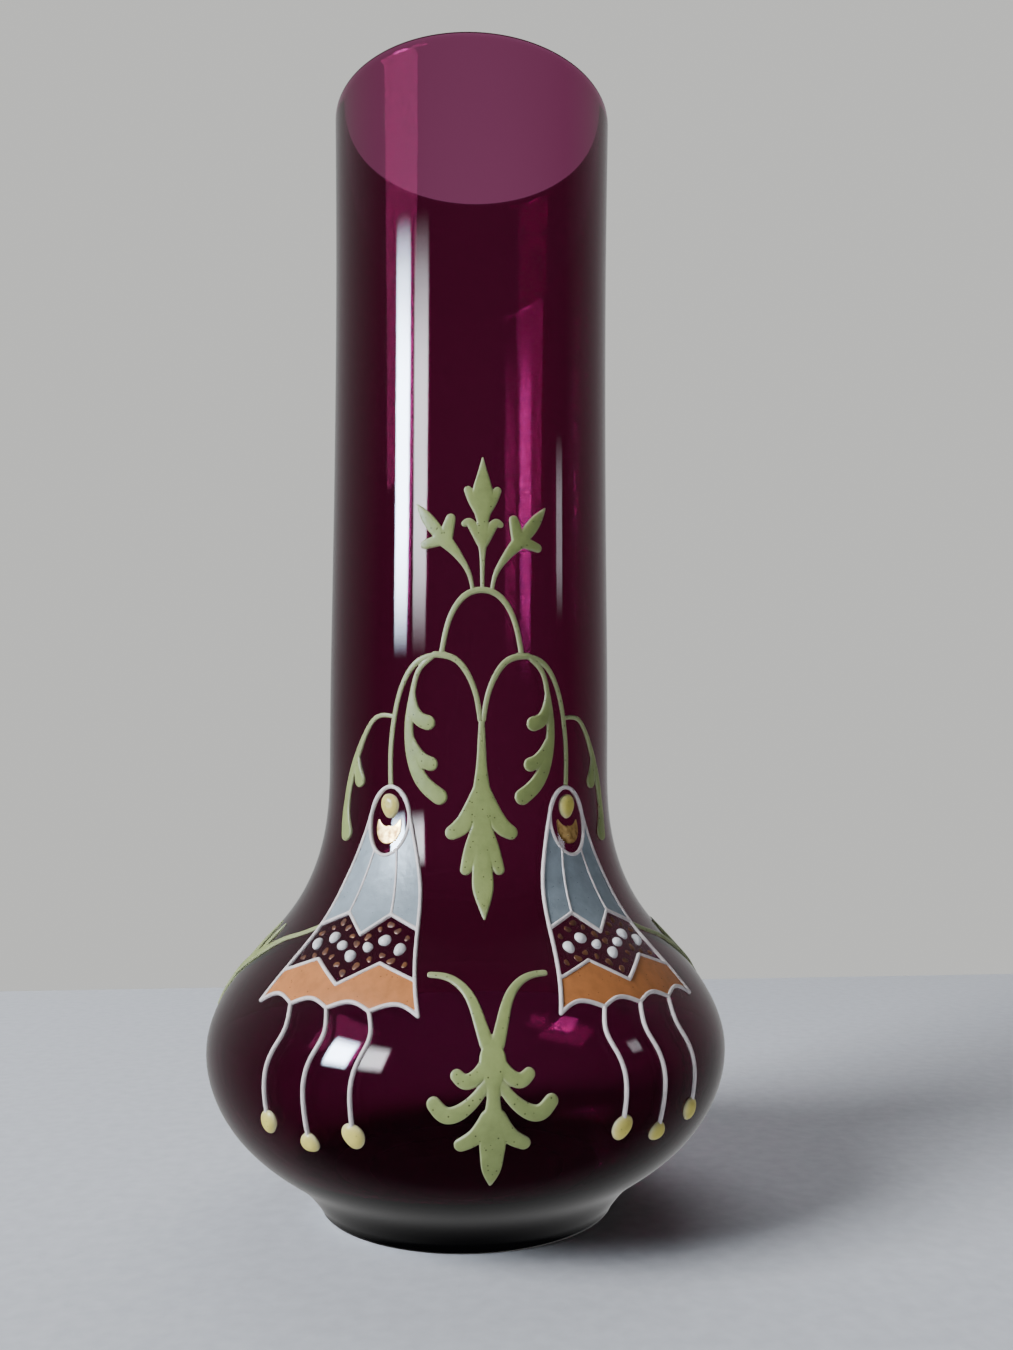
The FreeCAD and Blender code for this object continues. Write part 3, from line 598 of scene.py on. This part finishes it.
def field(name, low, high, columns, rows):
    """Thin flat field across the right-hand bell; its two edges are heights by share of the half width."""
    deselect()
    bpy.ops.mesh.primitive_grid_add(x_subdivisions=columns - 1, y_subdivisions=rows - 1, size=2)
    piece = bpy.context.object
    piece.name = name
    grid = np.empty(len(piece.data.vertices) * 3)
    piece.data.vertices.foreach_get("co", grid)
    across, up, _ = grid.reshape(-1, 3).T
    share_up = (up + 1) / 2
    z = low(np.abs(across)) * (1 - share_up) + high(np.abs(across)) * share_up
    angle = math.radians(BELL_AZIMUTH) + across * bell_half_width(z) / radius_at(z)
    piece.data.vertices.foreach_set("co", on_glass(angle, place_at(z), PANEL_RELIEF).ravel())
    thickness = piece.modifiers.new("thickness", "SOLIDIFY")
    thickness.thickness = PANEL_RELIEF + SUNK
    thickness.offset = -1
    bpy.ops.object.modifier_apply(modifier=thickness.name)
    clean(piece)
    return piece


def zigzag(edge, peak, valley):
    """Height of a zigzag line across half the bell, by share of the half width."""
    peak_share = arc_at(*peak) / edge[0]
    return lambda share: np.interp(share, [0, peak_share, 1], [valley, peak[1], edge[1]])


def scallops(share):
    """Height of the scalloped hem across half the bell, by share of the half width."""
    cusp_share = arc_at(HEM_CUSP_ANGLE, HEM_CUSP_HEIGHT) / HEM_CORNER[0]
    phase = np.where(share < cusp_share, share / cusp_share, (share - cusp_share) / (1 - cusp_share))
    return HEM_CUSP_HEIGHT + (HEM_TOP_HEIGHT - HEM_CUSP_HEIGHT) * np.sin(math.pi * np.clip(phase, 0, 1))


def eye_bottom(share):
    """Height of the eye's lower edge across half the bell, by share of the half width there."""
    turns = np.linspace(0, math.pi / 2, EYE_EDGE_POINTS)
    heights = EYE_HEIGHT - EYE_HALF_HEIGHT * np.cos(turns)
    shares = EYE_HALF_WIDTH * np.sin(turns) / bell_half_width(heights)
    return np.interp(share, shares, heights)


def make_blue_field():
    """Pale blue panels from the upper zigzag up to the eye."""
    low = zigzag(UPPER_LINE_EDGE, UPPER_LINE_PEAK, UPPER_LINE_VALLEY)
    return field("blue_panels", low, eye_bottom, FIELD_COLUMNS, FIELD_ROWS)


def make_orange_field():
    """Orange hem from the scallops up to the lower zigzag."""
    high = zigzag(LOWER_LINE_EDGE, LOWER_LINE_PEAK, LOWER_LINE_VALLEY)
    return field("orange_hem", scallops, high, HEM_COLUMNS, HEM_ROWS)


def both_sides(places):
    """Places on the middle line once, and the others to the left and right of it."""
    return places + [(-degrees, z) for degrees, z in places if degrees]


def drops(name, places, half_width, half_height, relief, uneven=DROP_UNEVEN, dimple=0.0):
    """Rounded drops of enamel, each a little different, on the right-hand bell."""
    deselect()
    bpy.ops.mesh.primitive_uv_sphere_add(segments=DROP_SEGMENTS, ring_count=DROP_RINGS, radius=1)
    bun = bpy.context.object
    shape = np.empty(len(bun.data.vertices) * 3)
    bun.data.vertices.foreach_get("co", shape)
    shape = shape.reshape(-1, 3)
    faces = [tuple(face.vertices) for face in bun.data.polygons]
    bpy.data.objects.remove(bun)
    vertices = []
    polygons = []
    for number, (degrees, z) in enumerate(places):
        turn = np.arctan2(shape[:, 1], shape[:, 0])
        oval = uneven * np.sin(2 * turn + OVAL_STEP * number)
        lumps = uneven / 2 * np.sin(3 * turn + LUMP_STEP * number)
        wobble = 1 + oval + lumps
        size = 1 + uneven * math.sin(SIZE_STEP * number + 1)
        arc = shape[:, 0] * wobble * half_width * size
        angle = math.radians(BELL_AZIMUTH + degrees) + arc / radius_at(z)
        place = place_at(z) + shape[:, 1] * wobble * half_height * size
        hollow = dimple * np.exp(-(shape[:, 0] ** 2 + shape[:, 1] ** 2) / DIMPLE_SPREAD)
        height = np.where(shape[:, 2] > 0, shape[:, 2] * relief - hollow, -SUNK)
        start = len(vertices)
        vertices += list(on_glass(angle, place, height))
        polygons += [tuple(start + i for i in face) for face in faces]
    piece = new_piece(name, vertices, polygons)
    rim = piece.data.attributes.new("rim", "FLOAT", "POINT")
    rim.data.foreach_set("value", np.tile((1 - np.clip(shape[:, 2], 0, 1)) ** 2, len(places)))
    clean(piece)
    return piece


def node_tree(name):
    """New material with its shader and the piece's own coordinates."""
    material = bpy.data.materials.new(name)
    material.use_nodes = True
    nodes = material.node_tree.nodes
    links = material.node_tree.links
    coordinates = nodes.new("ShaderNodeTexCoord")
    return material, nodes, links, nodes["Principled BSDF"], coordinates.outputs["Object"]


def noise(nodes, links, coordinates, scale, detail=3.0):
    texture = nodes.new("ShaderNodeTexNoise")
    texture.inputs["Scale"].default_value = scale
    texture.inputs["Detail"].default_value = detail
    links.new(coordinates, texture.inputs["Vector"])
    return texture.outputs["Fac"]


def ramp(nodes, links, value, stops):
    node = nodes.new("ShaderNodeValToRGB")
    elements = node.color_ramp.elements
    for element, (position, colour) in zip((elements[0], elements[1]), (stops[0], stops[-1])):
        element.position = position
        element.color = (*colour, 1)
    for position, colour in stops[1:-1]:
        elements.new(position).color = (*colour, 1)
    links.new(value, node.inputs["Fac"])
    return node.outputs["Color"]


def bump(nodes, links, value, strength, distance):
    node = nodes.new("ShaderNodeBump")
    node.inputs["Strength"].default_value = strength
    node.inputs["Distance"].default_value = distance
    links.new(value, node.inputs["Height"])
    return node


def feed(links, value, socket):
    """Links a node's output to a socket, or sets the socket to a plain value."""
    if isinstance(value, bpy.types.NodeSocket):
        links.new(value, socket)
    else:
        socket.default_value = value


def mixed(nodes, links, factor, first, second, blend="MIX"):
    """Colour that goes from the first to the second, or blends them, by a factor."""
    node = nodes.new("ShaderNodeMix")
    node.data_type = "RGBA"
    node.blend_type = blend
    feed(links, factor, node.inputs["Factor"])
    feed(links, first, node.inputs["A"])
    feed(links, second, node.inputs["B"])
    return node.outputs["Result"]


def scaled(colour, factor):
    return tuple(min(channel * factor, 1) for channel in colour)


def thin_rim_and_edge_sheen(nodes, links, body, colour):
    """Body colour that gives way to a paler one where the enamel thins out at its rim; on the green enamel
    this paler rim is partly painted edge highlight.
    """
    rim = nodes.new("ShaderNodeAttribute")
    rim.attribute_name = "rim"
    return mixed(nodes, links, rim.outputs["Fac"], body, (*colour, 1))


def enamel_material(name, colour, roughness, pits, gloss=ENAMEL_GLOSS, rim=None):
    """Fired enamel: mottled colour, dark pits where bubbles burst, a glossy but uneven skin."""
    material, nodes, links, shader, coordinates = node_tree(name)
    mottle = noise(nodes, links, coordinates, MOTTLE_SCALE)
    body = ramp(nodes, links, mottle, [(place, scaled(colour, factor)) for place, factor in MOTTLE])
    # Paler rim colour: thinner enamel, and on the green partly painted edge highlight.
    if rim:
        body = thin_rim_and_edge_sheen(nodes, links, body, rim)
    holes = nodes.new("ShaderNodeTexVoronoi")
    holes.inputs["Scale"].default_value = PIT_SCALE
    links.new(coordinates, holes.inputs["Vector"])
    pit_stops = [(pits, PIT_COLOUR), (pits + PIT_EDGE, (1, 1, 1))]
    pit = ramp(nodes, links, holes.outputs["Distance"], pit_stops)
    links.new(mixed(nodes, links, 1.0, body, pit, "MULTIPLY"), shader.inputs["Base Color"])
    shader.inputs["Roughness"].default_value = roughness
    shader.inputs["Specular IOR Level"].default_value = gloss
    waves = bump(nodes, links, noise(nodes, links, coordinates, SKIN_SCALE, SKIN_DETAIL), *SKIN_BUMP)
    holes_bump = bump(nodes, links, holes.outputs["Distance"], *PIT_BUMP)
    links.new(waves.outputs["Normal"], holes_bump.inputs["Normal"])
    links.new(holes_bump.outputs["Normal"], shader.inputs["Normal"])
    return material


def glass_material():
    """Amethyst glass, with the faint waviness of blown work."""
    material, nodes, links, shader, coordinates = node_tree("amethyst_glass")
    tint = ramp(nodes, links, noise(nodes, links, coordinates, TINT_SCALE, TINT_DETAIL), GLASS_TINT)
    links.new(tint, shader.inputs["Base Color"])
    shader.inputs["Transmission Weight"].default_value = 1.0
    shader.inputs["Roughness"].default_value = GLASS_ROUGHNESS
    shader.inputs["IOR"].default_value = GLASS_BENDING
    shader.inputs["Specular IOR Level"].default_value = GLASS_GLOSS
    depth = nodes.new("ShaderNodeVolumeAbsorption")
    depth.inputs["Color"].default_value = (*GLASS_DEPTH, 1)
    depth.inputs["Density"].default_value = GLASS_DENSITY
    links.new(depth.outputs["Volume"], nodes["Material Output"].inputs["Volume"])
    waving = noise(nodes, links, coordinates, GLASS_WAVE_SCALE, GLASS_WAVE_DETAIL)
    waves = bump(nodes, links, waving, *GLASS_WAVES)
    links.new(waves.outputs["Normal"], shader.inputs["Normal"])
    return material


def gilt_material(name, colours, metallic):
    """Thin gold, worn darker in places; the colours run from worn to bright."""
    material, nodes, links, shader, coordinates = node_tree(name)
    wear = noise(nodes, links, coordinates, WEAR_SCALE, WEAR_DETAIL)
    gold = ramp(nodes, links, wear, list(zip(WEAR_STOPS, colours)))
    links.new(gold, shader.inputs["Base Color"])
    shader.inputs["Metallic"].default_value = metallic
    rough = ramp(nodes, links, wear, GOLD_ROUGHNESS)
    links.new(rough, shader.inputs["Roughness"])
    skin = bump(nodes, links, wear, *GOLD_BUMP)
    links.new(skin.outputs["Normal"], shader.inputs["Normal"])
    return material


MATERIALS = {
    "amethyst_glass": glass_material(),
    "gilding": gilt_material("gilding", BRIGHT_GOLD, BRIGHT_METAL),
    "worn_gilding": gilt_material("worn_gilding", WORN_GOLD, WORN_METAL),
}
for enamel_name, finish in ENAMELS.items():
    MATERIALS[enamel_name] = enamel_material(enamel_name, **finish)


def hand_over(piece, node, slot, finish=None):
    """Puts a finished piece in metres on the frame in place of its CAD node."""
    piece.name = "enamel_" + node if slot != "amethyst_glass" else "blown_glass"
    piece.data.transform(Matrix.Scale(MM, 4))
    piece.data.materials.clear()
    piece.data.materials.append(MATERIALS[finish or slot])
    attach(piece, "root")
    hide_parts(node)


def duplicate(piece):
    copy = piece.copy()
    copy.data = piece.data.copy()
    bpy.context.scene.collection.objects.link(copy)
    return copy


def mirror_image(piece):
    """The same piece on the other side of the front's middle."""
    copy = duplicate(piece)
    copy.data.transform(Matrix.Scale(-1, 4, Vector((1, 0, 0))))
    copy.data.flip_normals()
    return copy


def right_and_left(piece, node, slot, finish=None):
    """Hands over a piece made on the right, and its mirror image on the left."""
    hand_over(mirror_image(piece), "left_" + node, slot, finish)
    hand_over(piece, "right_" + node, slot, finish)


def make_bells():
    """All pieces of the two bells."""
    dots = both_sides(UPPER_DOTS) + both_sides(LOWER_DOTS)
    pieces = [
        ("outline", "white_enamel", enamel("bell_lines", bell_paths(), LINE_RELIEF, BELL_AZIMUTH)),
        ("tassels", "white_enamel", enamel("tassels", tassel_paths(), LINE_RELIEF, BELL_AZIMUTH)),
        ("blue_panels", "pale_blue_enamel", make_blue_field()),
        ("orange_hem", "orange_enamel", make_orange_field()),
        ("gilt_crescent", "gilding", enamel("crescent", crescent_paths(), GILT_RELIEF, BELL_AZIMUTH)),
        ("pearls", "pearl_enamel", drops("pearls", both_sides(PEARLS), *PEARL)),
        ("eye_bead", "yellow_enamel",
         drops("eye_bead", [(0, EYE_BEAD_HEIGHT)], *EYE_BEAD, dimple=BEAD_DIMPLE)),
        ("tassel_beads", "yellow_enamel",
         drops("tassel_beads", tassel_ends(), *TASSEL_BEAD, dimple=BEAD_DIMPLE)),
    ]
    for part, slot, piece in pieces:
        right_and_left(piece, "bell_" + part, slot)
    worn_dots = drops("dots", dots, *GILT_DOT, uneven=DOT_UNEVEN)
    right_and_left(worn_dots, "bell_gilt_dots", "gilding", "worn_gilding")


def make_leaves():
    """All green enamel."""
    middle = {"crown": crown_paths, "upper_arch": upper_arch_paths, "pendant": pendant_paths,
              "lower_sprig": lower_sprig_paths}
    for node, paths in middle.items():
        hand_over(enamel(node, paths(), LEAF_RELIEF), node, "green_enamel")
    sides = {"arch": right_arch_paths, "leaf": right_leaf_paths, "sprig": right_sprig_paths}
    for node, paths in sides.items():
        right_and_left(enamel(node, paths(), LEAF_RELIEF), node, "green_enamel")


def make_floor():
    """Plain pale floor that ends behind the vase."""
    corners = [(-FLOOR_SIDE, -FLOOR_FRONT, 0), (FLOOR_SIDE, -FLOOR_FRONT, 0)]
    corners += [(FLOOR_SIDE, FLOOR_BACK, 0), (-FLOOR_SIDE, FLOOR_BACK, 0)]
    floor = new_piece("floor", corners, [(0, 1, 2, 3)])
    floor.data.transform(Matrix.Scale(MM, 4))
    material, nodes, links, shader, coordinates = node_tree("floor")
    tone = ramp(nodes, links, noise(nodes, links, coordinates, FLOOR_SCALE), FLOOR_TONES)
    links.new(tone, shader.inputs["Base Color"])
    shader.inputs["Roughness"].default_value = FLOOR_ROUGHNESS
    floor.data.materials.append(material)
    floor.visible_glossy = False


def fade(nodes, links, place, margin):
    """Brightness across a window: full in the middle and none at the edges, by place from nought to one."""
    half = 0.5
    offset = nodes.new("ShaderNodeMath")
    offset.operation = "SUBTRACT"
    offset.inputs[1].default_value = half
    links.new(place, offset.inputs[0])
    distance = nodes.new("ShaderNodeMath")
    distance.operation = "ABSOLUTE"
    links.new(offset.outputs["Value"], distance.inputs[0])
    brightness = nodes.new("ShaderNodeMapRange")
    brightness.interpolation_type = "SMOOTHSTEP"
    brightness.inputs["From Min"].default_value = half
    brightness.inputs["From Max"].default_value = half - margin
    links.new(distance.outputs["Value"], brightness.inputs["Value"])
    return brightness.outputs["Result"]


def soften(light, across, upright):
    """Fades a window's light out over margins at its sides and at its ends."""
    light.use_nodes = True
    nodes = light.node_tree.nodes
    links = light.node_tree.links
    surface = nodes.new("ShaderNodeNewGeometry")
    split = nodes.new("ShaderNodeSeparateXYZ")
    links.new(surface.outputs["Parametric"], split.inputs["Vector"])
    strength = nodes.new("ShaderNodeMath")
    strength.operation = "MULTIPLY"
    links.new(fade(nodes, links, split.outputs["X"], across), strength.inputs[0])
    links.new(fade(nodes, links, split.outputs["Y"], upright), strength.inputs[1])
    links.new(strength.outputs["Value"], nodes["Emission"].inputs["Strength"])


def make_window(name, azimuth, elevation, distance, width, height, watts):
    """Soft rectangular light that faces the vase."""
    data = bpy.data.lights.new(name, "AREA")
    data.shape = "RECTANGLE"
    data.size = width
    data.size_y = height
    data.energy = watts
    data.color = DAYLIGHT
    light = bpy.data.objects.new(name, data)
    turn = math.radians(azimuth)
    rise = math.radians(elevation)
    away = Vector((math.sin(turn) * math.cos(rise), -math.cos(turn) * math.cos(rise), math.sin(rise)))
    light.location = away * distance + Vector((0, 0, LIGHTS_FACE))
    light.rotation_euler = away.to_track_quat("Z", "Y").to_euler()
    bpy.context.scene.collection.objects.link(light)
    return light


def make_room():
    """Pale surroundings: dim as light on the vase, and darkest in front as the glass mirrors them."""
    world = bpy.data.worlds.new("room")
    bpy.context.scene.world = world
    world.use_nodes = True
    nodes = world.node_tree.nodes
    links = world.node_tree.links
    path = nodes.new("ShaderNodeLightPath")
    direction = nodes.new("ShaderNodeTexCoord")
    up_and_back = nodes.new("ShaderNodeVectorMath")
    up_and_back.operation = "DOT_PRODUCT"
    up_and_back.inputs[1].default_value = BACK_DIRECTION
    links.new(direction.outputs["Generated"], up_and_back.inputs[0])
    behind = nodes.new("ShaderNodeMapRange")
    behind.inputs["From Min"].default_value = BACK_START
    behind.inputs["From Max"].default_value = BACK_FULL
    links.new(up_and_back.outputs["Value"], behind.inputs["Value"])
    room_in_glass = mixed(nodes, links, behind.outputs["Result"], (*FRONT_OF_ROOM, 1), (*BACK_OF_ROOM, 1))
    is_mirrored = nodes.new("ShaderNodeMath")
    is_mirrored.operation = "MULTIPLY"
    links.new(path.outputs["Is Glossy Ray"], is_mirrored.inputs[0])
    links.new(path.outputs["Is Reflection Ray"], is_mirrored.inputs[1])
    lit = mixed(nodes, links, path.outputs["Is Diffuse Ray"], (*WALL, 1), (*ROOM_LIGHT, 1))
    seen = mixed(nodes, links, is_mirrored.outputs["Value"], lit, room_in_glass)
    links.new(seen, nodes["Background"].inputs["Color"])


def make_lights():
    """Daylight from the front left, light from above and behind, and the panes that the glass mirrors."""
    make_window("daylight", *DAYLIGHT_WINDOW).visible_glossy = False
    ceiling = make_window("ceiling", *CEILING)
    ceiling.visible_glossy = False
    ceiling.visible_transmission = False
    pane = make_window("pane", *PANE)
    curtain = make_window("curtain", *CURTAIN)
    side_window = make_window("side_window", *SIDE_WINDOW)
    pane.data.color = PANE_LIGHT
    for window in (pane, curtain, side_window):
        window.visible_diffuse = False
        soften(window.data, FADE_ACROSS, FADE_UPRIGHT)


def make_camera():
    """Camera low and close in front of the vase, looking slightly up."""
    data = bpy.data.cameras.new("camera")
    data.lens = LENS
    data.clip_start = CLIP_START
    camera = bpy.data.objects.new("camera", data)
    stand = math.radians(CAMERA_AZIMUTH)
    look = math.radians(CAMERA_TURN - CAMERA_AZIMUTH)
    tilt = math.radians(CAMERA_TILT)
    place = (CAMERA_DISTANCE * math.sin(stand), -CAMERA_DISTANCE * math.cos(stand), CAMERA_HEIGHT)
    camera.location = Vector(place) * MM
    ahead = Vector((math.sin(look) * math.cos(tilt), math.cos(look) * math.cos(tilt), math.sin(tilt)))
    camera.rotation_euler = ahead.to_track_quat("-Z", "Y").to_euler()
    bpy.context.scene.collection.objects.link(camera)
    bpy.context.scene.camera = camera


deselect()
hand_over(make_glass(), "glass_body", "amethyst_glass")
make_leaves()
make_bells()
make_floor()
make_room()
make_lights()
make_camera()
